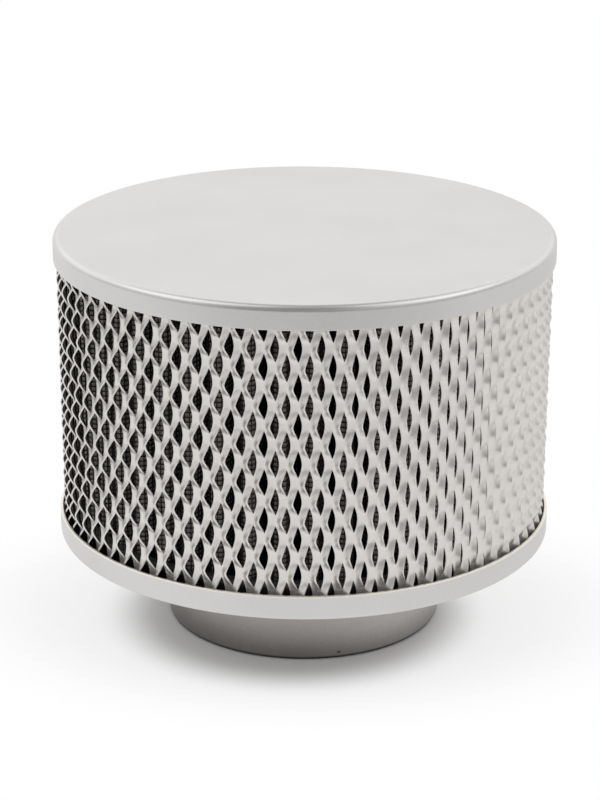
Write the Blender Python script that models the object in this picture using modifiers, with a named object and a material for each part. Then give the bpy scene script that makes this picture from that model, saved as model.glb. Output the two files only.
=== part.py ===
"""Round carburetor air filter: two pressed covers hold an expanded-metal cage round a pleated element, on a neck."""

import math

import bmesh
import bpy

# Driving dimensions, in metres
OVERALL_HEIGHT = 0.1054
SHEET = 0.0008
COVER_RIM = 0.0062
PAN_RIM = 0.0064
RIM_FOLD = 0.0016
CLEARANCE = 0.0003

# The neck
NECK_DIAMETER = 0.0724
NECK_WALL = 0.0015
NECK_LENGTH = 0.0245
NECK_FLANGE = 0.0040
NECK_FOLD = 0.0004

# The cage of raised expanded metal, in larger cells than the real sheet's and in the same proportion
CAGE_SHEET = 0.0008
CELL_WIDTH = 0.0089
CELL_HEIGHT = 0.0165
STRAND_WIDTH = 0.0031
BOND_LENGTH = 0.0032
BLADE_TILT = math.radians(25)

# The pleated element
PLEAT_DEPTH = 0.0146
PLEAT_PITCH = 0.0081
PACK_STANDOFF = 0.00312
FOLD_WIDTH = 0.0024
MEDIA_THICKNESS = 0.0009
SCREEN_THICKNESS = 0.0003
PACK_CLEARANCE = 0.0004

# The potting and the seam clip
TOP_POTTING = 0.0040
PAN_POTTING = 0.0044
CLIP_SHEET = 0.0005
CLIP_REACH = 0.0036

# Facets of the turned pieces
TURN_STEPS = 48
FOLD_STEPS = 3
FACET = math.cos(math.pi / TURN_STEPS)

# Heights that the pieces share
PAN_FLOOR = NECK_LENGTH + SHEET
INSIDE_BOTTOM = PAN_FLOOR + CLEARANCE
INSIDE_TOP = OVERALL_HEIGHT - SHEET - CLEARANCE

# Radii from the neck outwards: the covers come out 130 mm across
NECK_RADIUS = NECK_DIAMETER / 2
FLANGE_RADIUS = NECK_RADIUS + NECK_FLANGE
SCREENED = MEDIA_THICKNESS / 2 + CLEARANCE + SCREEN_THICKNESS
INNER_FOLD = FLANGE_RADIUS + PACK_STANDOFF + SCREENED
OUTER_FOLD = INNER_FOLD + PLEAT_DEPTH
CAGE_INNER = OUTER_FOLD + SCREENED + PACK_CLEARANCE
HALF_RAISE = STRAND_WIDTH * math.sin(BLADE_TILT) + CAGE_SHEET / 2 * math.cos(BLADE_TILT)
CAGE_OUTER = CAGE_INNER + 2 * HALF_RAISE
COVER_RADIUS = (CAGE_OUTER + CLEARANCE) / FACET + SHEET

# Whole cells and pleats round
CAGE_CELLS = round(2 * math.pi * CAGE_OUTER / CELL_WIDTH)
PLEATS = round(2 * math.pi * OUTER_FOLD / PLEAT_PITCH)


def clear_scene():
    """Remove everything that the startup scene holds."""
    for obj in list(bpy.data.objects):
        bpy.data.objects.remove(obj, do_unlink=True)


def finish(name, colour, metallic, roughness):
    """A Principled material with one colour."""
    made = bpy.data.materials.new(name)
    made.use_nodes = True
    shader = made.node_tree.nodes["Principled BSDF"]
    shader.inputs["Base Color"].default_value = (*colour, 1.0)
    shader.inputs["Metallic"].default_value = metallic
    shader.inputs["Roughness"].default_value = roughness
    return made


def place(name, mesh, material, collection):
    """One named object for one piece."""
    piece = bpy.data.objects.new(name, mesh)
    mesh.materials.append(material)
    collection.objects.link(piece)
    return piece


def arc(centre_x, centre_z, radius, first, last, steps=FOLD_STEPS):
    """Points of an arc in the XZ plane, with both ends, between two angles in degrees."""
    angles = [math.radians(first + (last - first) * step / steps) for step in range(steps + 1)]
    return [(centre_x + radius * math.cos(a), centre_z + radius * math.sin(a)) for a in angles]


def turned(name, profile, material, collection, closed=False, wall=None):
    """A profile turned about Z. A profile that is one face of a pressed sheet gets the sheet as its wall."""
    mesh = bpy.data.meshes.new(name)
    edges = [(i, i + 1) for i in range(len(profile) - 1)]
    if closed:
        edges.append((len(profile) - 1, 0))
    mesh.from_pydata([(x, 0.0, z) for x, z in profile], edges, [])
    piece = place(name, mesh, material, collection)
    screw = piece.modifiers.new("Turn", "SCREW")
    screw.steps = TURN_STEPS
    screw.render_steps = TURN_STEPS
    screw.use_merge_vertices = True
    screw.merge_threshold = 0.00001
    screw.use_smooth_shade = True
    if wall:
        sheet(piece, wall, -1.0)
    piece.modifiers.new("Flat faces", "WEIGHTED_NORMAL").keep_sharp = True
    return piece


def sheet(piece, thickness, offset):
    """Give an open surface the thickness of its sheet: offset -1 is inwards and 0 is half to each side."""
    solidify = piece.modifiers.new("Sheet", "SOLIDIFY")
    solidify.thickness = thickness
    solidify.offset = offset
    solidify.use_even_offset = True


def top_cover(material, collection):
    """A flat disc with its rim turned down."""
    rim_bottom = OVERALL_HEIGHT - COVER_RIM
    fold = arc(COVER_RADIUS - RIM_FOLD, OVERALL_HEIGHT - RIM_FOLD, RIM_FOLD, 90, 0)
    profile = [(0.0, OVERALL_HEIGHT)] + fold + [(COVER_RADIUS, rim_bottom)]
    return turned("top_cover", profile, material, collection, wall=SHEET)


def base_pan(material, collection):
    """A dish with its rim turned up and a hole that clears the fold of the neck."""
    rim_top = NECK_LENGTH + PAN_RIM
    hole = (NECK_RADIUS + NECK_FOLD + CLEARANCE) / FACET
    fold = arc(COVER_RADIUS - RIM_FOLD, NECK_LENGTH + RIM_FOLD, RIM_FOLD, 0, -90)
    profile = [(COVER_RADIUS, rim_top)] + fold + [(hole, NECK_LENGTH)]
    return turned("base_pan", profile, material, collection, wall=SHEET)


def neck(material, collection):
    """A straight tube whose upper end is turned out into a flange that lies on the floor of the pan."""
    fold = arc(NECK_RADIUS + NECK_FOLD, INSIDE_BOTTOM - NECK_FOLD, NECK_FOLD, 90, 180)
    profile = [(FLANGE_RADIUS, INSIDE_BOTTOM)] + fold + [(NECK_RADIUS, 0.0)]
    return turned("neck", profile, material, collection, wall=NECK_WALL)


def cage(material, collection):
    """Raised expanded metal: a lattice of bonds, each tilted like a blade, and the strands that join them."""
    middle = CAGE_INNER + HALF_RAISE
    rise = INSIDE_TOP - INSIDE_BOTTOM - BOND_LENGTH
    half_rows = round(rise / (CELL_HEIGHT / 2))
    shape = bmesh.new()
    bonds = {}

    def corner(column, row, across, up):
        turn = math.pi * column / CAGE_CELLS
        radius = middle + across * math.sin(BLADE_TILT)
        along = across * math.cos(BLADE_TILT)
        x = radius * math.cos(turn) - along * math.sin(turn)
        y = radius * math.sin(turn) + along * math.cos(turn)
        z = INSIDE_BOTTOM + BOND_LENGTH / 2 + rise * row / half_rows + up
        return shape.verts.new((x, y, z))

    for row in range(half_rows + 1):
        for column in range(row % 2, 2 * CAGE_CELLS, 2):
            left = corner(column, row, -STRAND_WIDTH, 0)
            bottom = corner(column, row, 0, -BOND_LENGTH / 2)
            right = corner(column, row, STRAND_WIDTH, 0)
            top = corner(column, row, 0, BOND_LENGTH / 2)
            bonds[column, row] = (left, bottom, right, top)
            shape.faces.new((left, bottom, right, top))
    for (column, row), (left, bottom, right, top) in bonds.items():
        if row == half_rows:
            continue
        right_left, right_bottom, _, _ = bonds[(column + 1) % (2 * CAGE_CELLS), row + 1]
        _, left_bottom, left_right, _ = bonds[(column - 1) % (2 * CAGE_CELLS), row + 1]
        shape.faces.new((top, right, right_bottom, right_left))
        shape.faces.new((left, top, left_right, left_bottom))
    mesh = bpy.data.meshes.new("cage")
    shape.to_mesh(mesh)
    shape.free()
    piece = place("cage", mesh, material, collection)
    sheet(piece, CAGE_SHEET, 0.0)
    return piece


def fold_corners(pleat, offset):
    """The four corners of one pleat, moved outward by offset: two on its outer fold and two on its inner fold."""
    half_turn = math.pi / PLEATS
    half_fold = FOLD_WIDTH / 2
    depth = OUTER_FOLD - INNER_FOLD * math.cos(half_turn) - half_fold * math.sin(half_turn)
    sideways = INNER_FOLD * math.sin(half_turn) - half_fold * math.cos(half_turn) - half_fold
    bend = math.atan2(depth, sideways)
    outer_mitre = math.tan(bend / 2)
    inner_mitre = -math.tan((bend - half_turn) / 2)
    corners = []
    for fold, turn, mitre in ((OUTER_FOLD, 0, outer_mitre), (INNER_FOLD, half_turn, inner_mitre)):
        angle = 2 * pleat * half_turn + turn
        radius = fold + offset
        for side in (-1, 1):
            across = side * (half_fold + mitre * offset)
            x = radius * math.cos(angle) - across * math.sin(angle)
            y = radius * math.sin(angle) + across * math.cos(angle)
            corners.append((x, y))
    return corners


def upright_sheet(name, line, bottom, top, thickness, material, collection, closed):
    """A line drawn in plan, raised into an upright surface and given the thickness of its sheet."""
    shape = bmesh.new()
    low = [shape.verts.new((x, y, bottom)) for x, y in line]
    edges = [shape.edges.new(pair) for pair in zip(low, low[1:])]
    if closed:
        edges.append(shape.edges.new((low[-1], low[0])))
    raised = bmesh.ops.extrude_edge_only(shape, edges=edges)["geom"]
    moved = [item for item in raised if isinstance(item, bmesh.types.BMVert)]
    bmesh.ops.translate(shape, verts=moved, vec=(0, 0, top - bottom))
    bmesh.ops.recalc_face_normals(shape, faces=shape.faces)
    mesh = bpy.data.meshes.new(name)
    shape.to_mesh(mesh)
    shape.free()
    piece = place(name, mesh, material, collection)
    sheet(piece, thickness, 0.0)
    return piece


def folded_layer(name, offset, thickness, material, collection):
    """One layer of the pleated pack, standing between the two pottings."""
    line = [corner for pleat in range(PLEATS) for corner in fold_corners(pleat, offset)]
    bottom = INSIDE_BOTTOM + PAN_POTTING + CLEARANCE
    top = INSIDE_TOP - TOP_POTTING - CLEARANCE
    return upright_sheet(name, line, bottom, top, thickness, material, collection, closed=True)


def seam_clip(material, collection):
    """A folded strip that grips the inner fold where the two ends of the pack meet, at the back."""
    offset = -(SCREENED + CLEARANCE + CLIP_SHEET / 2)
    back = PLEATS // 4
    before, near, far = fold_corners(back, offset)[1:]
    after = fold_corners(back + 1, offset)[0]
    share = CLIP_REACH / math.dist(near, before)
    first = [a + (b - a) * share for a, b in zip(near, before)]
    last = [a + (b - a) * share for a, b in zip(far, after)]
    bottom = INSIDE_BOTTOM + PAN_POTTING + CLEARANCE
    top = INSIDE_TOP - TOP_POTTING - CLEARANCE
    line = [first, near, far, last]
    return upright_sheet("seam_clip", line, bottom, top, CLIP_SHEET, material, collection, closed=False)


def top_seal(material, collection):
    """Potting poured over the whole inside of the cover."""
    radius = CAGE_INNER - CLEARANCE
    bottom = INSIDE_TOP - TOP_POTTING
    profile = [(0.0, INSIDE_TOP), (radius, INSIDE_TOP), (radius, bottom), (0.0, bottom)]
    return turned("top_seal", profile, material, collection)


def bottom_seal(material, collection):
    """A ring of potting in the pan, between the cage and the flange of the neck."""
    outer = CAGE_INNER - CLEARANCE
    inner = (FLANGE_RADIUS + CLEARANCE) / FACET
    top = INSIDE_BOTTOM + PAN_POTTING
    profile = [(outer, top), (outer, INSIDE_BOTTOM), (inner, INSIDE_BOTTOM), (inner, top)]
    return turned("bottom_seal", profile, material, collection, closed=True)


clear_scene()
parts = bpy.data.collections.new("air_filter")
bpy.context.scene.collection.children.link(parts)

satin_steel = finish("satin_steel", (0.66, 0.65, 0.64), 0.9, 0.42)
cage_steel = finish("cage_steel", (0.62, 0.61, 0.59), 0.9, 0.45)
neck_steel = finish("neck_steel", (0.45, 0.43, 0.41), 0.9, 0.5)
black_wire = finish("black_wire", (0.03, 0.03, 0.03), 0.2, 0.6)
grey_cloth = finish("grey_cloth", (0.32, 0.31, 0.30), 0.0, 0.95)
potting = finish("potting", (0.40, 0.39, 0.37), 0.0, 0.6)

top_cover(satin_steel, parts)
base_pan(satin_steel, parts)
neck(neck_steel, parts)
cage(cage_steel, parts)
top_seal(potting, parts)
bottom_seal(potting, parts)

screen_offset = SCREENED - SCREEN_THICKNESS / 2
folded_layer("outer_screen", screen_offset, SCREEN_THICKNESS, black_wire, parts)
folded_layer("pleated_media", 0.0, MEDIA_THICKNESS, grey_cloth, parts)
folded_layer("inner_screen", -screen_offset, SCREEN_THICKNESS, black_wire, parts)
seam_clip(satin_steel, parts)
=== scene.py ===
"""Round carburetor air filter on its neck, seen from a little above on a plain white floor."""

import math

import bpy
import numpy as np
from mathutils import Matrix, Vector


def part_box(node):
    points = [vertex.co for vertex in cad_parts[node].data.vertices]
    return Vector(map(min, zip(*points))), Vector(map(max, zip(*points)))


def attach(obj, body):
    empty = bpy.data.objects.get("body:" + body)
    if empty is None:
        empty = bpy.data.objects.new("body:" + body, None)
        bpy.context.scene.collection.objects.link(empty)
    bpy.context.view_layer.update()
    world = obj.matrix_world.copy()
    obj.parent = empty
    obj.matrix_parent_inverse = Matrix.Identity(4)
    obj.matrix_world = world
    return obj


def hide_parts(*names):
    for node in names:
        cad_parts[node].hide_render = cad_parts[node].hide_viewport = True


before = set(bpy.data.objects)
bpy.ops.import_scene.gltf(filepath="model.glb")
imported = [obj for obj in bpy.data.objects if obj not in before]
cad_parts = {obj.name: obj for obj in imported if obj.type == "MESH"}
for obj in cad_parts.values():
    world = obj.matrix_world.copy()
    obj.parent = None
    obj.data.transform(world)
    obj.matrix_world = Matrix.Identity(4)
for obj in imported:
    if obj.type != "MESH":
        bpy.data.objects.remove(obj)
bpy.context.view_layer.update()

# Neck: a plain steel tube, turned out at its top into a flange that lies on the floor of the pan. It is cut
# square below and duller than the covers, with one small nick. Painted shade darkens it towards the foot
# and nearly to black along its lower edge, and a painted highlight lightens its right side. It slips over
# the carburetor's air horn.
NECK_OUTER = 0.0362
NECK_WALL = 0.0015
FLANGE_EDGE = 0.0002
FLANGE_FOLD_INSIDE = 0.0018
FLANGE_FOLD_OUTSIDE = 0.0004
FOOT_EDGE_INSIDE = 0.0003
FOOT_EDGE_OUTSIDE = 0.0007
NECK_COLOUR = (0.425, 0.403, 0.387)
# Painted shade: the neck darkens towards its foot, in the shadow under the pan.
NECK_FOOT_PAINTED_SHADE = (0.285, 0.270, 0.260)
NECK_FOOT_SHADE_REACH = (0.0, 0.024)
# A painted highlight, lighter on the neck's right side where the light falls:
PAINTED_HIGHLIGHT_CENTRE = (0.0335, -0.015, 0.006)
PAINTED_HIGHLIGHT_COLOUR = (0.59, 0.57, 0.55)
PAINTED_HIGHLIGHT_SHARE = 0.5
PAINTED_HIGHLIGHT_REACH = (0.010, 0.042)
# Painted shade, nearly black along the lower edge where the tube meets the floor. The nick uses the same
# dark.
SHADE_AND_NICK_COLOUR = (0.03, 0.03, 0.03)
EDGE_PAINTED_SHADE_SHARE = 0.9
EDGE_PAINTED_SHADE_REACH = (0.0003, 0.0011)
NICK = (0.0092, -0.0350, 0.0017)
NICK_STRETCH = (1.0, 1.0, 1.8)
NICK_SHARE = 0.85
NICK_REACH = (0.0003, 0.0007)
ARC_STEPS = 5
TURN_STEPS = 256
CLOUD_SCALE = 45.0
GRAIN_SCALE = 1800.0
GRAIN_SHARE = 0.6
GLOSS_SPREAD = 0.05


def unit(vectors):
    """The vectors divided by their lengths, along the last axis."""
    return vectors / np.linalg.norm(vectors, axis=-1, keepdims=True)


def build(name, points, normals, *polygons):
    """A mesh object from points, their shading normals and arrays of polygons, one for each corner count."""
    mesh = bpy.data.meshes.new(name)
    corners = np.concatenate([group.ravel() for group in polygons]).astype(np.int32)
    sizes = np.concatenate([np.full(len(group), group.shape[1]) for group in polygons])
    starts = (np.cumsum(sizes) - sizes).astype(np.int32)
    mesh.vertices.add(len(points))
    mesh.vertices.foreach_set("co", np.ascontiguousarray(points, dtype=np.float32).ravel())
    mesh.loops.add(len(corners))
    mesh.loops.foreach_set("vertex_index", corners)
    mesh.polygons.add(len(sizes))
    mesh.polygons.foreach_set("loop_start", starts)
    mesh.update(calc_edges=True)
    mesh.polygons.foreach_set("use_smooth", np.ones(len(sizes), dtype=bool))
    mesh.normals_split_custom_set_from_vertices(unit(normals).tolist())
    piece = bpy.data.objects.new(name, mesh)
    bpy.context.scene.collection.objects.link(piece)
    return piece


def rounded(corners):
    """An outline with each inner corner turned into an arc: its points and their outward normals. A corner is
    (x, y, radius) and the outline runs clockwise. An arc's centre lies on the corner's bisector, at the
    radius divided by the sine of half the corner's angle. The first and last corners only give directions."""
    points, normals = [], []
    for before, here, after in zip(corners, corners[1:], corners[2:]):
        back = unit(np.subtract(before[:2], here[:2]))
        ahead = unit(np.subtract(after[:2], here[:2]))
        half = math.acos(np.clip(back @ ahead, -1, 1)) / 2
        centre = np.array(here[:2]) + unit(back + ahead) * here[2] / math.sin(half)
        first = math.atan2(-back[0], back[1])
        turn = math.atan2(ahead[0], -ahead[1]) - first
        turn = (turn + math.pi) % (2 * math.pi) - math.pi
        side = -1 if turn > 0 else 1
        for step in range(ARC_STEPS + 1):
            angle = first + turn * step / ARC_STEPS
            normal = np.array([math.cos(angle), math.sin(angle)])
            points.append(centre + side * here[2] * normal)
            normals.append(normal)
    return np.array(points), np.array(normals)


def lathe(name, corners, poles=None):
    """An outline in radius and height, turned about Z. With poles, two heights on the axis, the outline
    starts and ends there. Without them it closes on itself."""
    if poles:
        outline, slopes = rounded([(0.0, poles[0], 0.0)] + corners + [(0.0, poles[1], 0.0)])
    else:
        outline, slopes = rounded([corners[-1]] + corners + [corners[0]])
    turn = 2 * math.pi * np.arange(TURN_STEPS) / TURN_STEPS
    ring = np.stack([np.cos(turn), np.sin(turn)], axis=1)
    around = len(outline)
    points = np.empty((TURN_STEPS, around, 3))
    points[:, :, :2] = outline[None, :, :1] * ring[:, None, :]
    points[:, :, 2] = outline[None, :, 1]
    normals = np.empty_like(points)
    normals[:, :, :2] = slopes[None, :, :1] * ring[:, None, :]
    normals[:, :, 2] = slopes[None, :, 1]
    points, normals = points.reshape(-1, 3), normals.reshape(-1, 3)
    index = np.arange(TURN_STEPS * around).reshape(TURN_STEPS, around)
    ahead = np.roll(index, -1, axis=0)
    if not poles:
        quads = np.stack([index, np.roll(index, -1, 1), np.roll(ahead, -1, 1), ahead], -1)
        return build(name, points, normals, quads.reshape(-1, 4))
    quads = np.stack([index[:, :-1], index[:, 1:], ahead[:, 1:], ahead[:, :-1]], -1)
    first, last = len(points), len(points) + 1
    points = np.vstack([points, [[0, 0, poles[0]], [0, 0, poles[1]]]])
    normals = np.vstack([normals, [[0, 0, slopes[0, 1]], [0, 0, slopes[-1, 1]]]])
    start_fan = np.stack([np.full(TURN_STEPS, first), index[:, 0], ahead[:, 0]], -1)
    end_fan = np.stack([np.full(TURN_STEPS, last), ahead[:, -1], index[:, -1]], -1)
    return build(name, points, normals, quads.reshape(-1, 4), start_fan, end_fan)


def new_material(name, **inputs):
    """A material with its Principled sockets set: the material, its node tree and its shader."""
    material = bpy.data.materials.new(name)
    material.use_nodes = True
    tree = material.node_tree
    shader = tree.nodes["Principled BSDF"]
    for socket, value in inputs.items():
        shader.inputs[socket.replace("_", " ")].default_value = value
    return material, tree, shader


def node(tree, kind, **settings):
    """A shader node. Settings are its own properties, or its input sockets by name."""
    made = tree.nodes.new(kind)
    for key, value in settings.items():
        if hasattr(made, key):
            setattr(made, key, value)
        else:
            made.inputs[key.replace("_", " ")].default_value = value
    return made


def noise(tree, scale, detail):
    """Noise on Object coordinates, its scale in cells per metre. The answer is its factor socket."""
    texture = node(tree, "ShaderNodeTexNoise", Scale=scale, Detail=detail)
    tree.links.new(node(tree, "ShaderNodeTexCoord").outputs["Object"], texture.inputs["Vector"])
    return texture.outputs["Fac"]


def spread(tree, socket, low, high, start=0.3, end=0.7):
    """A factor from start to end, turned smoothly into one from low to high."""
    mapped = node(tree, "ShaderNodeMapRange", interpolation_type="SMOOTHSTEP")
    for key, value in (("From Min", start), ("From Max", end), ("To Min", low), ("To Max", high)):
        mapped.inputs[key].default_value = value
    tree.links.new(socket, mapped.inputs["Value"])
    return mapped.outputs["Result"]


def tint(tree, socket, dark, light):
    """Two colours mixed by a factor: the dark one at 0, the light one at 1."""
    mixed = node(tree, "ShaderNodeMix", data_type="RGBA")
    mixed.inputs["A"].default_value = (*dark, 1.0)
    mixed.inputs["B"].default_value = (*light, 1.0)
    tree.links.new(socket, mixed.inputs["Factor"])
    return mixed.outputs["Result"]


def shade(colour, factor):
    """A colour times a factor, each part 1 at most."""
    return tuple(min(1.0, part * factor) for part in colour)


def bumps(tree, shader, socket, height):
    """Fine relief on a shader, as high as its factor times a height in metres."""
    bump = node(tree, "ShaderNodeBump", Strength=1.0, Distance=height)
    tree.links.new(socket, bump.inputs["Height"])
    tree.links.new(bump.outputs["Normal"], shader.inputs["Normal"])


def satin_metal(name, colour, roughness, mottle, grain, metallic=1.0):
    """Sheet steel with a satin finish. Its tone goes up and down by the mottle, in soft clouds and a fine
    grain, its roughness by the gloss spread, and its relief is as high as the grain."""
    material, tree, shader = new_material(name, Metallic=metallic)
    clouds = noise(tree, CLOUD_SCALE, detail=4.0)
    fine = noise(tree, GRAIN_SCALE, detail=3.0)
    speckle = node(tree, "ShaderNodeMix", data_type="FLOAT", Factor=GRAIN_SHARE)
    tree.links.new(spread(tree, clouds, 0.0, 1.0), speckle.inputs["A"])
    tree.links.new(spread(tree, fine, 0.0, 1.0), speckle.inputs["B"])
    tone = tint(tree, speckle.outputs["Result"], shade(colour, 1 - mottle), shade(colour, 1 + mottle))
    tree.links.new(tone, shader.inputs["Base Color"])
    gloss = spread(tree, fine, roughness - GLOSS_SPREAD, roughness + GLOSS_SPREAD)
    tree.links.new(gloss, shader.inputs["Roughness"])
    bumps(tree, shader, fine, grain)
    return material


def object_place(tree, centre=(0.0, 0.0, 0.0), stretch=(1.0, 1.0, 1.0)):
    """Object coordinates less a centre, times a stretch: the socket of their length and that of their
    height."""
    moved = node(tree, "ShaderNodeVectorMath", operation="SUBTRACT")
    moved.inputs[1].default_value = centre
    tree.links.new(node(tree, "ShaderNodeTexCoord").outputs["Object"], moved.inputs[0])
    scaled = node(tree, "ShaderNodeVectorMath", operation="MULTIPLY")
    scaled.inputs[1].default_value = stretch
    tree.links.new(moved.outputs["Vector"], scaled.inputs[0])
    length = node(tree, "ShaderNodeVectorMath", operation="LENGTH")
    tree.links.new(scaled.outputs["Vector"], length.inputs[0])
    parts = node(tree, "ShaderNodeSeparateXYZ")
    tree.links.new(scaled.outputs["Vector"], parts.inputs["Vector"])
    return length.outputs["Value"], parts.outputs["Z"]


def overlay(material, name, mask, value):
    """Lays a plain value over what a shader socket already gets, by a mask."""
    tree = material.node_tree
    socket = tree.nodes["Principled BSDF"].inputs[name]
    plain = isinstance(value, float)
    mixed = node(tree, "ShaderNodeMix", data_type="FLOAT" if plain else "RGBA")
    tree.links.new(socket.links[0].from_socket, mixed.inputs["A"])
    mixed.inputs["B"].default_value = value if plain else (*value, 1.0)
    tree.links.new(mask, mixed.inputs["Factor"])
    tree.links.new(mixed.outputs["Result"], socket)


neck_low, neck_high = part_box("neck")
neck_inner = NECK_OUTER - NECK_WALL
flange = neck_high.x
flange_floor = neck_high.z - NECK_WALL
neck = lathe("neck_tube", [
    (flange, neck_high.z, FLANGE_EDGE),
    (flange, flange_floor, FLANGE_EDGE),
    (NECK_OUTER, flange_floor, FLANGE_FOLD_OUTSIDE),
    (NECK_OUTER, neck_low.z, FOOT_EDGE_OUTSIDE),
    (neck_inner, neck_low.z, FOOT_EDGE_INSIDE),
    (neck_inner, neck_high.z, FLANGE_FOLD_INSIDE),
])
neck_satin = satin_metal("neck_satin", NECK_COLOUR, roughness=0.32, mottle=0.04, grain=0.000002)
tree = neck_satin.node_tree
_, height = object_place(tree)
highlight_reach, _ = object_place(tree, PAINTED_HIGHLIGHT_CENTRE)
nick, _ = object_place(tree, NICK, NICK_STRETCH)
# Painted shade: darker towards the foot of the neck.
overlay(neck_satin, "Base Color", spread(tree, height, 1.0, 0.0, *NECK_FOOT_SHADE_REACH), NECK_FOOT_PAINTED_SHADE)
# Painted highlight: the neck's right side is lighter.
overlay(neck_satin, "Base Color", spread(tree, highlight_reach, PAINTED_HIGHLIGHT_SHARE, 0.0, *PAINTED_HIGHLIGHT_REACH), PAINTED_HIGHLIGHT_COLOUR)
# Painted shade: nearly black along the lower edge, where the neck meets the floor.
overlay(neck_satin, "Base Color", spread(tree, height, EDGE_PAINTED_SHADE_SHARE, 0.0, *EDGE_PAINTED_SHADE_REACH), SHADE_AND_NICK_COLOUR)
overlay(neck_satin, "Base Color", spread(tree, nick, NICK_SHARE, 0.0, *NICK_REACH), SHADE_AND_NICK_COLOUR)
neck.data.materials.append(neck_satin)
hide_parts("neck")
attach(neck, "root")

# Base pan: a dish pressed from thin sheet, its rim turned up round the foot of the cage. The trimmed edge of
# the sheet shows as a thin yellowish line, and the neck comes through the hole in its floor.
COVER_SHEET = 0.0008
PAN_TRIM = 0.00022
PAN_FOLD_OUTSIDE = 0.0009
PAN_FOLD_INSIDE = 0.0008
PAN_HOLE_EDGE = 0.0003
PAN_HOLE_GAP = 0.0008
SATIN_COLOUR = (0.675, 0.662, 0.652)
SATIN_FINISH = {"roughness": 0.42, "mottle": 0.045, "grain": 0.000004}
TRIMMED_COLOUR = (0.95, 0.90, 0.80)
TRIMMED_SHARE = 0.8
TRIMMED_START = 0.0006
TRIMMED_END = 0.0001

pan_low, pan_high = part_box("base_pan")
pan_inner = pan_high.x - COVER_SHEET
pan_hole = NECK_OUTER + PAN_HOLE_GAP
pan_floor = pan_low.z + COVER_SHEET
base_pan = lathe("pressed_base_pan", [
    (pan_high.x, pan_high.z, PAN_TRIM),
    (pan_high.x, pan_low.z, PAN_FOLD_OUTSIDE),
    (pan_hole, pan_low.z, PAN_HOLE_EDGE),
    (pan_hole, pan_floor, PAN_HOLE_EDGE),
    (pan_inner, pan_floor, PAN_FOLD_INSIDE),
    (pan_inner, pan_high.z, PAN_TRIM),
])
pan_satin = satin_metal("pan_satin", SATIN_COLOUR, **SATIN_FINISH)
tree = pan_satin.node_tree
_, height = object_place(tree)
edge = spread(tree, height, 0.0, TRIMMED_SHARE, pan_high.z - TRIMMED_START, pan_high.z - TRIMMED_END)
overlay(pan_satin, "Base Color", edge, TRIMMED_COLOUR)
base_pan.data.materials.append(pan_satin)
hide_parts("base_pan")
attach(base_pan, "root")

# Bottom seal: grey potting poured into the pan round the foot of the pleats, in a ring that stands a little
# above the rim. The ring is dark grey. Painted shade turns its side and the floor inside it near black, and
# only the ring's upper edge shows as a dark grey ledge in the lowest holes.
LEDGE_COLOUR = (0.17, 0.165, 0.16)
# Painted shade: near black for the ring's side and for the floor inside the ring.
PAINTED_SHADE_BLACK = (0.02, 0.02, 0.02)
LEDGE_RADIUS = 0.0614
LEDGE_INNER = 0.0592
LEDGE_LEVEL = 0.0326
LEDGE_EDGE_OUTSIDE = 0.0005
LEDGE_EDGE_INSIDE = 0.0006
LEDGE_SHOWS_FROM = 0.0016
LEDGE_SHOWS_TO = 0.0002
GROOVE_LEVEL = 0.0276
GROOVE_EDGE = 0.0003
POURED_EDGE = 0.0004
INNER_SHADE_FADE = 0.0004
SEAL_GAP = 0.0005
POTTING_SCALE = 160.0
POTTING_RELIEF = 0.0002
POTTING_DARKEST = 0.85
POTTING_LIGHTEST = 1.1


def cast_potting(name, colour):
    """Cast potting, its tone and its relief in soft clouds."""
    material, tree, shader = new_material(name, Roughness=0.55)
    cloud = noise(tree, POTTING_SCALE, detail=3.0)
    tone = tint(tree, cloud, shade(colour, POTTING_DARKEST), shade(colour, POTTING_LIGHTEST))
    tree.links.new(tone, shader.inputs["Base Color"])
    bumps(tree, shader, cloud, POTTING_RELIEF)
    return material


seal_low, seal_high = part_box("bottom_seal")
seal_inner = flange + SEAL_GAP
bottom_seal = lathe("bottom_potting", [
    (seal_high.x, GROOVE_LEVEL, GROOVE_EDGE),
    (seal_high.x, seal_low.z, POURED_EDGE),
    (seal_inner, seal_low.z, POURED_EDGE),
    (seal_inner, LEDGE_LEVEL, LEDGE_EDGE_INSIDE),
    (LEDGE_RADIUS, LEDGE_LEVEL, LEDGE_EDGE_OUTSIDE),
    (LEDGE_RADIUS, GROOVE_LEVEL, GROOVE_EDGE),
])
shaded_potting = cast_potting("potting_with_painted_shade", LEDGE_COLOUR)
tree = shaded_potting.node_tree
reach, _ = object_place(tree, stretch=(1.0, 1.0, 0.0))
_, height = object_place(tree)
# Painted shade below the ring's upper edge and inside the ring, where the potting lies in shadow.
below = spread(tree, height, 1.0, 0.0, LEDGE_LEVEL - LEDGE_SHOWS_FROM, LEDGE_LEVEL - LEDGE_SHOWS_TO)
within = spread(tree, reach, 1.0, 0.0, LEDGE_INNER - INNER_SHADE_FADE, LEDGE_INNER)
overlay(shaded_potting, "Base Color", below, PAINTED_SHADE_BLACK)
overlay(shaded_potting, "Base Color", within, PAINTED_SHADE_BLACK)
bottom_seal.data.materials.append(shaded_potting)
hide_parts("bottom_seal")
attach(bottom_seal, "root")

# Pleated media: grey filter cloth folded in 46 deep pleats, its ends joined at the back.
# It stands in the potting above and below, between two layers of wire cloth that hold the folds open.
PLEATS = 46
OUTER_FOLD = 0.05895
INNER_FOLD = 0.04437
FOLD_WIDTH = 0.0024
FOLD_TANGENT = 0.00115
PACK_TURN = math.radians(-1.9)
MEDIA_THICKNESS = 0.0009
MEDIA_COLOUR = (0.75, 0.71, 0.67)
FIBRE_SCALE = 1400.0
FIBRE_RELIEF = 0.0001
FIBRE_DARKEST = 0.7
FIBRE_LIGHTEST = 1.25


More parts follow.
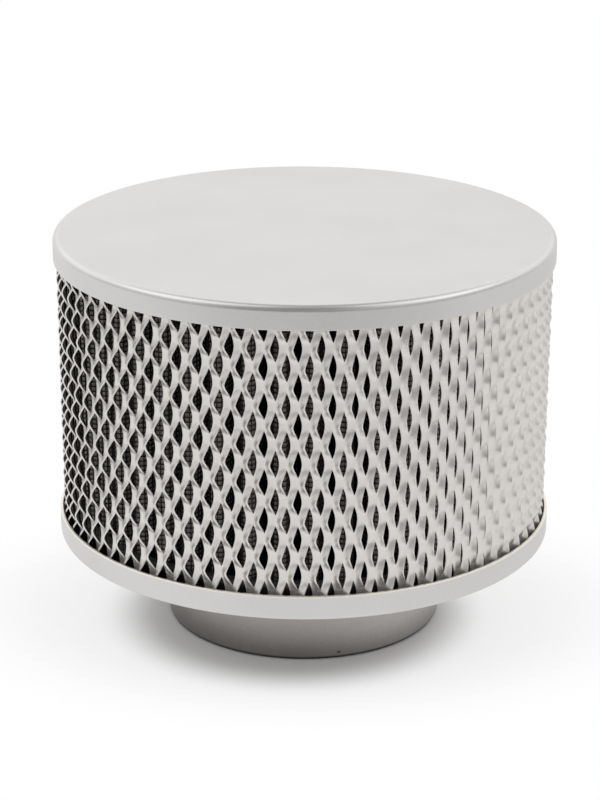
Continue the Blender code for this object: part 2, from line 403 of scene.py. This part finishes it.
def pleat_line(arc_steps, offset):
    """The folded line in plan, moved outward by offset, counter-clockwise: points, outward normals and the
    distance along it. Each pleat has two corners on its outer fold and two on its inner fold, and every
    corner is an arc whose radius is its tangent's length divided by the tangent of half its turn."""
    half_turn = math.pi / PLEATS
    corners = []
    for fold in range(2 * PLEATS):
        radius = OUTER_FOLD if fold % 2 == 0 else INNER_FOLD
        angle = fold * half_turn + PACK_TURN
        out = np.array([math.cos(angle), math.sin(angle)])
        along = np.array([-out[1], out[0]])
        corners += [radius * out - FOLD_WIDTH / 2 * along, radius * out + FOLD_WIDTH / 2 * along]
    corners = np.array(corners)
    back = unit(np.roll(corners, 1, axis=0) - corners)
    ahead = unit(np.roll(corners, -1, axis=0) - corners)
    first = np.arctan2(back[:, 0], -back[:, 1])
    last = np.arctan2(-ahead[:, 0], ahead[:, 1])
    turn = (last - first + math.pi) % (2 * math.pi) - math.pi
    radius = FOLD_TANGENT / np.tan(np.abs(turn) / 2)
    start = corners + back * FOLD_TANGENT
    side = np.where(turn > 0, 1.0, -1.0)
    centre = start - (side * radius)[:, None] * np.stack([np.cos(first), np.sin(first)], 1)
    angle = first[:, None] + turn[:, None] * np.linspace(0, 1, arc_steps)
    normals = np.stack([np.cos(angle), np.sin(angle)], -1)
    points = centre[:, None, :] + normals * ((side * radius)[:, None, None] + offset)
    points, normals = points.reshape(-1, 2), normals.reshape(-1, 2)
    run = np.linalg.norm(np.roll(points, -1, axis=0) - points, axis=1)
    return points, normals, np.concatenate([[0.0], np.cumsum(run)])


def tubes(points, normals, closed):
    """The points, normals and polygons of tubes, from arrays of tube x step along x corner around. Corners
    run counter-clockwise seen from ahead. A closed tube joins its last step to its first, and an open one is
    capped."""
    count, along, around = points.shape[:3]
    index = np.arange(count * along * around).reshape(count, along, around)
    here = index if closed else index[:, :-1]
    ahead = np.roll(index, -1, axis=1) if closed else index[:, 1:]
    quads = np.stack([here, np.roll(here, -1, 2), np.roll(ahead, -1, 2), ahead], -1)
    groups = [quads.reshape(-1, 4)]
    if not closed:
        groups += [index[:, 0, ::-1].reshape(-1, around), index[:, -1].reshape(-1, around)]
    return points.reshape(-1, 3), normals.reshape(-1, 3), groups


media_low, media_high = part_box("pleated_media")
outer_line, line_normals, _ = pleat_line(arc_steps=5, offset=MEDIA_THICKNESS / 2)
inner_line = outer_line - line_normals * MEDIA_THICKNESS
section = (
    (outer_line, media_high.z, 1),
    (outer_line, media_low.z, 1),
    (inner_line, media_low.z, -1),
    (inner_line, media_high.z, -1),
)
flat = np.zeros(len(outer_line))
points = np.stack([np.column_stack([line, flat + level]) for line, level, _ in section], 1)
normals = np.stack([np.column_stack([side * line_normals, flat]) for _, _, side in section], 1)
points, normals, groups = tubes(points[None], normals[None], closed=True)
media = build("pleated_filter_cloth", points, normals, *groups)
cloth, tree, shader = new_material("grey_filter_cloth", Roughness=0.95)
fibres = noise(tree, FIBRE_SCALE, detail=4.0)
cloth_tone = tint(tree, fibres, shade(MEDIA_COLOUR, FIBRE_DARKEST), shade(MEDIA_COLOUR, FIBRE_LIGHTEST))
tree.links.new(cloth_tone, shader.inputs["Base Color"])
bumps(tree, shader, fibres, FIBRE_RELIEF)
media.data.materials.append(cloth)
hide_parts("pleated_media")
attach(media, "root")

# Outer screen: black-coated wire cloth, 20 wires to the inch, folded together with the media and outside it.
# It carries the pleats against the air flow and is what shows black through the cage.
WIRE_PITCH = 0.00127
WIRE_RADIUS = 0.00020
WIRE_SIDES = 3
OUTER_ARC_STEPS = 3
INNER_ARC_STEPS = 2
WEAVE = 0.00012
SCREEN_OFFSET = 0.00096
WIRE_DARK = (0.028, 0.024, 0.021)
WIRE_LIGHT = (0.068, 0.060, 0.053)
COAT_SCALE = 900.0


def wire_cloth(name, offset, arc_steps, low, high):
    """Wire cloth folded along the pleat line: upright wires, and rings that follow every fold. The rings lie
    half a weave further out than the line, and the upright wires half a weave further in."""
    corner = -2 * math.pi * np.arange(WIRE_SIDES) / WIRE_SIDES
    up = np.array([0.0, 0.0, 1.0])
    line, outward, _ = pleat_line(arc_steps, offset + WEAVE / 2)
    rings = np.arange(low + WIRE_PITCH / 2, high, WIRE_PITCH)
    outward = np.column_stack([outward, np.zeros(len(outward))])
    around = np.cos(corner)[:, None] * outward[:, None, :] + np.sin(corner)[:, None] * up
    centres = np.column_stack([line, np.zeros(len(line))])
    points = centres[None, :, None, :] + WIRE_RADIUS * around[None] + rings[:, None, None, None] * up
    normals = np.broadcast_to(around, points.shape)
    ring_points, ring_normals, ring_groups = tubes(points, normals, closed=True)

    line, _, run = pleat_line(arc_steps=8, offset=offset - WEAVE / 2)
    wires = int(run[-1] / WIRE_PITCH)
    at = (np.arange(wires) + 0.5) / wires * run[-1]
    closed_line = np.vstack([line, line[:1]])
    x, y = (np.interp(at, run, closed_line[:, axis]) for axis in (0, 1))
    around = np.column_stack([np.cos(-corner), np.sin(-corner), np.zeros(WIRE_SIDES)])
    feet = np.column_stack([x, y, np.full(wires, low)])
    points = feet[:, None, None, :] + WIRE_RADIUS * around
    points = np.concatenate([points, points + up * (high - low)], axis=1)
    normals = np.broadcast_to(around, points.shape)
    wire_points, wire_normals, wire_groups = tubes(points, normals, closed=False)
    wire_groups = [group + len(ring_points) for group in wire_groups]
    joined = [np.vstack([ring_points, wire_points]), np.vstack([ring_normals, wire_normals])]
    return build(name, *joined, *ring_groups, *wire_groups)


screen_low, screen_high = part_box("outer_screen")
wire, tree, shader = new_material("black_coated_wire", Metallic=0.3, Roughness=0.5)
coat = noise(tree, COAT_SCALE, detail=2.0)
tree.links.new(tint(tree, coat, WIRE_DARK, WIRE_LIGHT), shader.inputs["Base Color"])
outer_screen = wire_cloth("outer_wire_cloth", SCREEN_OFFSET, OUTER_ARC_STEPS, screen_low.z, screen_high.z)
outer_screen.data.materials.append(wire)
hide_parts("outer_screen")
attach(outer_screen, "root")

# Inner screen: the same wire cloth on the clean side of the media.
# It keeps the folds apart, and shows only from below, through the neck.
inner_low, inner_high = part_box("inner_screen")
inner_screen = wire_cloth("inner_wire_cloth", -SCREEN_OFFSET, INNER_ARC_STEPS, inner_low.z, inner_high.z)
inner_screen.data.materials.append(wire)
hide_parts("inner_screen")
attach(inner_screen, "root")

# Seam clip: a strip of thin steel folded over the inner fold at the back, where the two ends of the pack
# meet. It is pinched on along its whole height and stays where the CAD has it.
CLIP_COLOUR = (0.6, 0.595, 0.585)

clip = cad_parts["seam_clip"]
clip_satin = satin_metal("clip_satin", CLIP_COLOUR, roughness=0.35, mottle=0.04, grain=0.000004)
clip.data.materials.clear()
clip.data.materials.append(clip_satin)

# Cage: one sheet of raised expanded steel rolled into a tube, its diamonds upright, held by the two rims.
# Every strand lies flat along the right of a hole and curls up along the left of the next, so the drum's left
# and right look different. Its inner face is darkened nearly to black as painted shade.
CAGE_CELLS = 72
CAGE_RADIUS = 0.0630
CAGE_TAPER = 0.0004
CAGE_SHEET = 0.00048
CAGE_PHASE = math.radians(-96.25)
CELL_HEIGHT = 0.00983
SLIT_SHARE = 0.357
STRAND_STEPS = 7
STRAND_END_GAP = 0.0003
EDGE_CHAMFER = 0.00012
CHAMFER_FADE = 4
HOLE_LEVEL = 0.0646
HOLE_LEFT = -0.283
HOLE_LEFT_RAISE = 0.275
HOLE_LEFT_CURVE = 1.7
HOLE_LEFT_ROUND = 0.16
HOLE_RIGHT = 0.158
HOLE_RIGHT_DROP = -0.010
HOLE_RIGHT_CURVE = 1.8
BEND_HOLLOW = 0.08
JOIN_START = 0.7
LEFT_FRONT, BEND, RIGHT_FRONT, RIGHT_SIDE, RIGHT_BACK = range(5)
CAGE_COLOUR = (0.79, 0.763, 0.735)
CAGE_FINISH = {"roughness": 0.38, "mottle": 0.05, "grain": 0.000003, "metallic": 0.77}
# Painted shade: the strands' inner face is darkened nearly to black.
INSIDE_PAINTED_SHADE = (0.080, 0.072, 0.066)

cage_low, cage_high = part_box("cage")
step_height = CELL_HEIGHT / 2 / STRAND_STEPS
lowest = math.ceil((cage_low.z + STRAND_END_GAP - HOLE_LEVEL) / step_height)
highest = math.floor((cage_high.z - STRAND_END_GAP - HOLE_LEVEL) / step_height)
levels = HOLE_LEVEL + np.arange(lowest, highest + 1) * step_height
column = np.arange(2 * CAGE_CELLS)[:, None]
pitch = 2 * math.pi / CAGE_CELLS
arc = pitch * CAGE_RADIUS


def hole_share(columns):
    """How far each level is from the middle of its column's nearest hole, divided by the slit's half length:
    0 at the middle, 1 from the slit's end on."""
    cells = (levels - HOLE_LEVEL) / CELL_HEIGHT + 0.5 * (columns % 2)
    away = np.abs((cells + 0.5) % 1.0 - 0.5)
    return np.minimum(away / SLIT_SHARE, 1.0)


def wrap(flat):
    """Flat places, across and out, on the strands' levels, bent round the drum. The angle is the distance
    across divided by the drum's radius, and the drum widens evenly from its lowest level to its highest."""
    turn = CAGE_PHASE + column[..., None] * pitch / 2 + flat[..., 0] / CAGE_RADIUS
    height = np.broadcast_to(levels[None, :, None], turn.shape)
    radius = CAGE_RADIUS + flat[..., 1] + CAGE_TAPER * (height - levels[-1]) / (levels[-1] - levels[0])
    return np.stack([radius * np.cos(turn), radius * np.sin(turn), height], -1)


# A strand's two edges give way most beside the middle of a hole, and meet the next strands at its ends.
left_share = hole_share(column)
right_share = hole_share(column + 1)
left_across = arc * HOLE_RIGHT * (1 - left_share ** HOLE_RIGHT_CURVE)
left_out = arc * HOLE_RIGHT_DROP * (1 - left_share ** 2)
right_fall = np.sqrt(right_share ** 2 + HOLE_LEFT_ROUND ** 2) - HOLE_LEFT_ROUND
right_fall = right_fall / (math.hypot(1, HOLE_LEFT_ROUND) - HOLE_LEFT_ROUND)
right_across = arc / 2 + arc * HOLE_LEFT * (1 - right_fall)
right_out = arc * HOLE_LEFT_RAISE * (1 - right_share ** HOLE_LEFT_CURVE)
left = np.stack([left_across, left_out], -1)
right = np.stack([right_across, right_out], -1)
face = unit(right - left)
inward = np.stack([face[..., 1], -face[..., 0]], -1)
right_cut = EDGE_CHAMFER * np.minimum((1 - right_share) * CHAMFER_FADE, 1)[..., None]
section = np.stack([
    left,
    (left + right) / 2 + inward * right_out[..., None] * BEND_HOLLOW,
    right - face * right_cut,
    right + inward * right_cut,
    right + inward * CAGE_SHEET,
    left + inward * CAGE_SHEET,
], axis=2)

points = wrap(section)
front = []
for place, first, last in (
    (LEFT_FRONT, LEFT_FRONT, BEND),
    (BEND, LEFT_FRONT, RIGHT_FRONT),
    (RIGHT_FRONT, BEND, RIGHT_FRONT),
):
    across = points[:, :, last] - points[:, :, first]
    front.append(unit(np.cross(across, np.gradient(points[:, :, place], axis=1))))
joined_left = np.clip((left_share - JOIN_START) / (1 - JOIN_START), 0, 1)[..., None] / 2
joined_right = np.clip((right_share - JOIN_START) / (1 - JOIN_START), 0, 1)[..., None] / 2
left_normal, bend_normal, right_normal = front
left_joined = left_normal * (1 - joined_left) + np.roll(right_normal, 1, axis=0) * joined_left
right_joined = right_normal * (1 - joined_right) + np.roll(left_normal, -1, axis=0) * joined_right
depth = points[:, :, RIGHT_BACK] - points[:, :, RIGHT_FRONT]
wall = unit(np.cross(depth, np.gradient(points[:, :, RIGHT_SIDE], axis=1)))
normals = np.stack([left_joined, bend_normal, right_joined, wall, wall, -bend_normal - wall], axis=2)
points, normals, groups = tubes(points, normals, closed=False)
cage = build("expanded_metal_cage", points, normals, *groups)
inside = np.zeros(len(cage.data.polygons), dtype=np.float32)
inside[RIGHT_BACK:len(groups[0]):section.shape[2]] = 1.0
cage.data.attributes.new("inside", "FLOAT", "FACE").data.foreach_set("value", inside)
cage_satin = satin_metal("cage_satin", CAGE_COLOUR, **CAGE_FINISH)
# Painted shade on the inner face of every strand.
mark = node(cage_satin.node_tree, "ShaderNodeAttribute", attribute_name="inside")
overlay(cage_satin, "Base Color", mark.outputs["Fac"], INSIDE_PAINTED_SHADE)
cage.data.materials.append(cage_satin)
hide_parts("cage")
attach(cage, "root")

# Top seal: the grey potting poured into the cover, a plain disc that fills it.
# It closes the upper end of the pleats and holds the pack and the cage in the cover.
POTTING_COLOUR = (0.46, 0.45, 0.43)
SEAL_TOP_EDGE = 0.0004
SEAL_LOWER_EDGE = 0.0006

top_seal_low, top_seal_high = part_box("top_seal")
top_seal = lathe("top_potting", [
    (top_seal_high.x, top_seal_high.z, SEAL_TOP_EDGE),
    (top_seal_high.x, top_seal_low.z, SEAL_LOWER_EDGE),
], poles=(top_seal_high.z, top_seal_low.z))
top_seal.data.materials.append(cast_potting("grey_potting", POTTING_COLOUR))
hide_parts("top_seal")
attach(top_seal, "root")

# Top cover: a flat disc pressed from the same sheet as the pan, with its rim turned down over the cage.
# Its face is bare and satin. The press has burnished the small radius of the fold, and the light catches it.
COVER_FOLD_OUTSIDE = 0.0016
COVER_FOLD_INSIDE = 0.0009
COVER_TRIM = 0.00025
BURNISHED_ROUGHNESS = 0.31
BURNISHED_START = 0.0019
BURNISHED_END = 0.0008


def calculate(tree, operation, first, second):
    """One sum, difference, product or maximum of two sockets, of which the first may be a plain number."""
    made = node(tree, "ShaderNodeMath", operation=operation)
    if isinstance(first, float):
        made.inputs[0].default_value = first
    else:
        tree.links.new(first, made.inputs[0])
    tree.links.new(second, made.inputs[1])
    return made.outputs["Value"]


cover_low, cover_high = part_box("top_cover")
cover_inner = cover_high.x - COVER_SHEET
cover_ceiling = cover_high.z - COVER_SHEET
top_cover = lathe("pressed_top_cover", [
    (cover_high.x, cover_high.z, COVER_FOLD_OUTSIDE),
    (cover_high.x, cover_low.z, COVER_TRIM),
    (cover_inner, cover_low.z, COVER_TRIM),
    (cover_inner, cover_ceiling, COVER_FOLD_INSIDE),
], poles=(cover_high.z, cover_ceiling))
cover_satin = satin_metal("cover_satin", SATIN_COLOUR, **SATIN_FINISH)
tree = cover_satin.node_tree
reach, _ = object_place(tree, stretch=(1.0, 1.0, 0.0))
_, height = object_place(tree)
outmost = spread(tree, reach, 0.0, 1.0, cover_high.x - BURNISHED_START, cover_high.x - BURNISHED_END)
topmost = spread(tree, height, 0.0, 1.0, cover_high.z - BURNISHED_START, cover_high.z - BURNISHED_END)
overlay(cover_satin, "Roughness", calculate(tree, "MULTIPLY", outmost, topmost), BURNISHED_ROUGHNESS)
top_cover.data.materials.append(cover_satin)
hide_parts("top_cover")
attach(top_cover, "root")

# Floor: one wide plain white sheet that carries the soft shadow and is the whole background of the picture.
# Painted shade darkens it a little round the neck. Away from the object it is seen as plain white: it glows
# white for the camera and in reflections, a painted light that lifts the shadow there and is a little weaker
# on the right in reflections. In front the sheet ends on a darker studio floor, which dulls the light on the
# object's front, but the camera sees white there too.
FLOOR_RADIUS = 3.0
FLOOR_DROP = 0.00005
FLOOR_STEPS = 128
SHEET_COLOUR = (0.93, 0.93, 0.93)
STUDIO_COLOUR = (0.50, 0.50, 0.50)
SHEET_FRONT = -0.26
SHEET_FADE = 0.2
# Painted shade: the sheet's colour close round the neck.
PAINTED_CONTACT_SHADE = (0.88, 0.88, 0.88)
PAINTED_CONTACT_REACH = (0.034, 0.050)
SHADE_CENTRE = (-0.0027, -0.0046, 0.0)
# Painted light: how much the sheet glows white, rising with distance from the neck, near and far.
NEAR_WHITE = 0.70
NEAR_REACH = (0.0358, 0.0535)
FAR_WHITE = 0.30
FAR_REACH = (0.053, 0.110)
FAR_STRETCH = (1.0, 1.35, 1.0)
RIGHT_SHEEN = 0.90
SHEEN_REACH = (-0.10, 0.25)

ring = 2 * math.pi * np.arange(FLOOR_STEPS) / FLOOR_STEPS
points = FLOOR_RADIUS * np.column_stack([np.cos(ring), np.sin(ring), np.zeros(FLOOR_STEPS)])
points[:, 2] = -FLOOR_DROP
floor = build("floor", points, np.tile([0.0, 0.0, 1.0], (FLOOR_STEPS, 1)), np.arange(FLOOR_STEPS)[None])
paper, tree, shader = new_material("white_sheet", Roughness=0.9, Specular_IOR_Level=0.1)
place = node(tree, "ShaderNodeTexCoord").outputs["Object"]
parts = node(tree, "ShaderNodeSeparateXYZ")
tree.links.new(place, parts.inputs["Vector"])
near, _ = object_place(tree, SHADE_CENTRE)
far, _ = object_place(tree, stretch=FAR_STRETCH)
sheet_share = spread(tree, parts.outputs["Y"], 0.0, 1.0, SHEET_FRONT - SHEET_FADE, SHEET_FRONT)
# Painted shade: the sheet is a little darker close round the neck.
contact = node(tree, "ShaderNodeMix", data_type="RGBA")
contact.inputs["A"].default_value = (*PAINTED_CONTACT_SHADE, 1.0)
tree.links.new(tint(tree, sheet_share, STUDIO_COLOUR, SHEET_COLOUR), contact.inputs["B"])
tree.links.new(spread(tree, near, 0.0, 1.0, *PAINTED_CONTACT_REACH), contact.inputs["Factor"])
tree.links.new(contact.outputs["Result"], shader.inputs["Base Color"])
rays = node(tree, "ShaderNodeLightPath").outputs
# Painted light: the sheet glows white for the camera and in reflections, away from the neck.
near_white = spread(tree, near, 0.0, NEAR_WHITE, *NEAR_REACH)
far_white = spread(tree, far, 0.0, FAR_WHITE, *FAR_REACH)
white_share = calculate(tree, "ADD", near_white, far_white)
seen_ray = calculate(tree, "MAXIMUM", rays["Is Camera Ray"], rays["Is Glossy Ray"])
all_white = calculate(tree, "MAXIMUM", sheet_share, rays["Is Camera Ray"])
right_sheen = spread(tree, parts.outputs["X"], 1.0, RIGHT_SHEEN, *SHEEN_REACH)
white = node(tree, "ShaderNodeEmission")
tree.links.new(tint(tree, all_white, STUDIO_COLOUR, (1.0, 1.0, 1.0)), white.inputs["Color"])
tree.links.new(calculate(tree, "MAXIMUM", rays["Is Camera Ray"], right_sheen), white.inputs["Strength"])
blend = node(tree, "ShaderNodeMixShader")
tree.links.new(calculate(tree, "MULTIPLY", white_share, seen_ray), blend.inputs[0])
tree.links.new(shader.outputs["BSDF"], blend.inputs[1])
tree.links.new(white.outputs["Emission"], blend.inputs[2])
tree.links.new(blend.outputs["Shader"], tree.nodes["Material Output"].inputs["Surface"])
floor.data.materials.append(paper)

# Light: a bright even studio, brightest on its back wall, with a small soft lamp high on each side. Its
# ceiling and the foot of its walls are duller, and so is an upright band on the camera's side, which shades
# the front of the cover's fold and every second strand on the right.
RIGHT = (1.0, 0.0, 0.0)
BACK = (0.0, 1.0, 0.0)
FRONT = (0.0, -1.0, 0.0)
UP = (0.0, 0.0, 1.0)
LEFT_WALL = 0.90
RIGHT_WALL = 0.80
SIDE_EDGE = (-1.0, 1.0)
BACK_WALL = 1.45
BACK_EDGE = (-0.1, 0.8)
CEILING = 0.45
CEILING_EDGE = (0.60, 0.90)
WALL_FOOT = 0.74
WALL_FOOT_EDGE = (0.10, 0.45)
BAND_SHARE = 0.58
BAND_LEFT_EDGE = (-0.85, -0.40)
BAND_RIGHT_EDGE = (0.10, 0.70)
BAND_FRONT_EDGE = (0.30, 0.65)
LEFT_LAMP = (-0.52, -0.08, 0.85)
RIGHT_LAMP = (0.58, -0.08, 0.81)
LAMP_LEVEL = 0.85
LAMP_EDGE = (0.86, 0.97)

world = bpy.data.worlds.new("studio")
bpy.context.scene.world = world
world.use_nodes = True
tree = world.node_tree
background = tree.nodes["Background"]
where = node(tree, "ShaderNodeTexCoord").outputs["Generated"]


def towards(direction, low, high, edge):
    """A factor that goes from low to high as the light's direction nears the given one. The edge is the two
    cosines of the angle between them at which it starts and ends."""
    dot = node(tree, "ShaderNodeVectorMath", operation="DOT_PRODUCT")
    tree.links.new(where, dot.inputs[0])
    dot.inputs[1].default_value = direction
    return spread(tree, dot.outputs["Value"], low, high, *edge)


band = towards(FRONT, 0.0, BAND_SHARE, BAND_FRONT_EDGE)
band = calculate(tree, "MULTIPLY", band, towards(RIGHT, 0.0, 1.0, BAND_LEFT_EDGE))
band = calculate(tree, "MULTIPLY", band, towards(RIGHT, 1.0, 0.0, BAND_RIGHT_EDGE))
room = calculate(tree, "SUBTRACT", 1.0, band)
room = calculate(tree, "MULTIPLY", room, towards(RIGHT, LEFT_WALL, RIGHT_WALL, SIDE_EDGE))
room = calculate(tree, "MULTIPLY", room, towards(BACK, 1.0, BACK_WALL, BACK_EDGE))
room = calculate(tree, "MULTIPLY", room, towards(UP, 1.0, CEILING, CEILING_EDGE))
room = calculate(tree, "MULTIPLY", room, towards(UP, WALL_FOOT, 1.0, WALL_FOOT_EDGE))
room = calculate(tree, "ADD", room, towards(LEFT_LAMP, 0.0, LAMP_LEVEL, LAMP_EDGE))
room = calculate(tree, "ADD", room, towards(RIGHT_LAMP, 0.0, LAMP_LEVEL, LAMP_EDGE))
shown = node(tree, "ShaderNodeMix", data_type="FLOAT")
tree.links.new(node(tree, "ShaderNodeLightPath").outputs["Is Camera Ray"], shown.inputs["Factor"])
tree.links.new(room, shown.inputs["A"])
shown.inputs["B"].default_value = 1.0
tree.links.new(shown.outputs["Result"], background.inputs["Strength"])
background.inputs["Color"].default_value = (1.0, 1.0, 1.0, 1.0)
bpy.context.scene.view_settings.view_transform = "Standard"

# Camera: where the photograph was taken from, a little above the cover and about 0.6 m in front. Its place,
# tilt and lens were fitted on the rims of the two covers and the foot of the neck. The long side of its
# sensor lies along the picture's height.
CAMERA_BACK = 0.62978
CAMERA_UP = 0.28738
CAMERA_PITCH = 0.34868
CAMERA_YAW = 0.0017486
CAMERA_ROLL = -0.0030423
FOCAL_PIXELS = 2531.6
PICTURE_HEIGHT = 800
SENSOR_LONG_SIDE = 36.0

yaw_cosine, yaw_sine = math.cos(CAMERA_YAW), math.sin(CAMERA_YAW)
pitch_cosine, pitch_sine = math.cos(CAMERA_PITCH), math.sin(CAMERA_PITCH)
roll_cosine, roll_sine = math.cos(CAMERA_ROLL), math.sin(CAMERA_ROLL)
rightward = np.array([yaw_cosine, yaw_sine, 0.0])
forward = np.array([-yaw_sine * pitch_cosine, yaw_cosine * pitch_cosine, -pitch_sine])
upward = np.array([-yaw_sine * pitch_sine, yaw_cosine * pitch_sine, pitch_cosine])
axes = np.eye(4)
axes[:3, 0] = roll_cosine * rightward - roll_sine * upward
axes[:3, 1] = roll_sine * rightward + roll_cosine * upward
axes[:3, 2] = -forward
axes[:3, 3] = (0.0, -CAMERA_BACK, CAMERA_UP)
camera = bpy.data.objects.new("camera", bpy.data.cameras.new("camera"))
camera.matrix_world = Matrix(axes.tolist())
camera.data.sensor_width = SENSOR_LONG_SIDE
camera.data.lens = SENSOR_LONG_SIDE * FOCAL_PIXELS / PICTURE_HEIGHT
camera.data.clip_start = 0.01
camera.data.clip_end = 20.0
bpy.context.scene.collection.objects.link(camera)
bpy.context.scene.camera = camera
